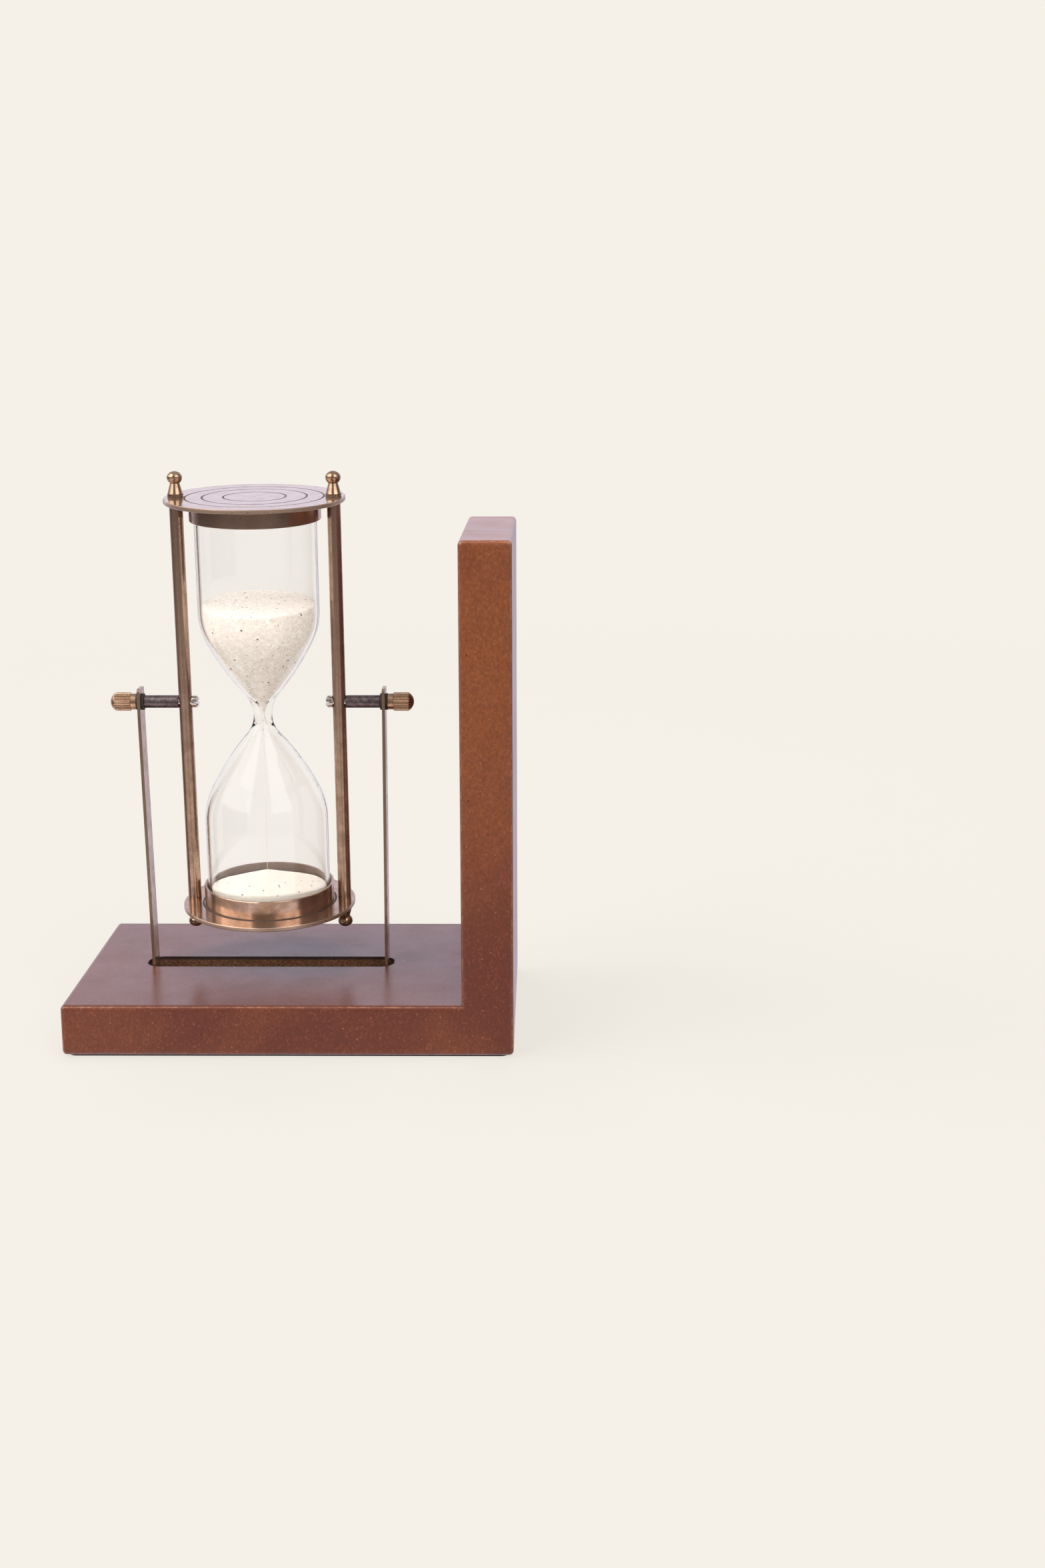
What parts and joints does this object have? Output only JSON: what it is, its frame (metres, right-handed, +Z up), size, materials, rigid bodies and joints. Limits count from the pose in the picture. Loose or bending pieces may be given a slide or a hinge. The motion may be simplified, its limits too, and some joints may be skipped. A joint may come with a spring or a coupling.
{
  "type": "hourglass bookend",
  "caption": "Bookend with an L-shaped board stand and a sand glass in a brass frame that turns over in a bent strip yoke, clamped by knurled thumb nuts.",
  "frame": {"origin": "middle of the footprint, on the underside of the felt", "axes": "+X towards the face that bears on the books, +Y to the back, +Z up"},
  "size_m": [0.1574, 0.102, 0.1991],
  "materials": {
    "painted_board": "satin brown paint on fibreboard, worn lighter along the edges",
    "beech": "bare turned beech",
    "felt": "black felt",
    "antique_brass": "antique brass, brown patina, satin",
    "knurled_brass": "antique brass, knurled, satin",
    "gunmetal": "dark gunmetal, fine turned",
    "zinc": "bright zinc plate",
    "black_fibre": "matt black fibre",
    "glass": "clear blown glass",
    "sand": "fine pale sand",
    "cork": "thin soft disc"
  },
  "bodies": {
    "stand": {"base_board": "painted_board", "upright_board": "painted_board", "mitre_dowels": "beech", "felt_pad": "felt", "yoke": "antique_brass", "yoke_screws": "zinc"},
    "hourglass": {"glass": "glass", "sand_upper": "sand", "sand_lower": "sand", "sand_stream": "sand", "top_cushion": "cork", "bottom_cushion": "cork", "top_plate": "antique_brass", "bottom_plate": "antique_brass", "top_collar": "antique_brass", "bottom_collar": "antique_brass", "left_rod": "antique_brass", "right_rod": "antique_brass", "top_left_finial": "antique_brass", "top_right_finial": "antique_brass", "bottom_left_finial": "antique_brass", "bottom_right_finial": "antique_brass", "left_pivot_screw": "zinc", "left_spacer": "gunmetal", "left_inner_washer": "black_fibre", "left_outer_washer": "black_fibre", "right_pivot_screw": "zinc", "right_spacer": "gunmetal", "right_inner_washer": "black_fibre", "right_outer_washer": "black_fibre"},
    "left_thumb_nut": {"left_thumb_nut": "knurled_brass"},
    "right_thumb_nut": {"right_thumb_nut": "knurled_brass"}
  },
  "joints": [
    {"name": "hourglass_swing", "type": "hinge", "parent": "stand", "child": "hourglass", "pos_m": [-0.0121, 0, 0.1165], "axis": [1, 0, 0], "continuous": true},
    {"name": "left_nut_turn", "type": "hinge", "parent": "hourglass", "child": "left_thumb_nut", "pos_m": [-0.0621, 0, 0.1165], "axis": [-1, 0, 0], "continuous": true},
    {"name": "right_nut_turn", "type": "hinge", "parent": "hourglass", "child": "right_thumb_nut", "pos_m": [0.0379, 0, 0.1165], "axis": [1, 0, 0], "continuous": true}
  ]
}
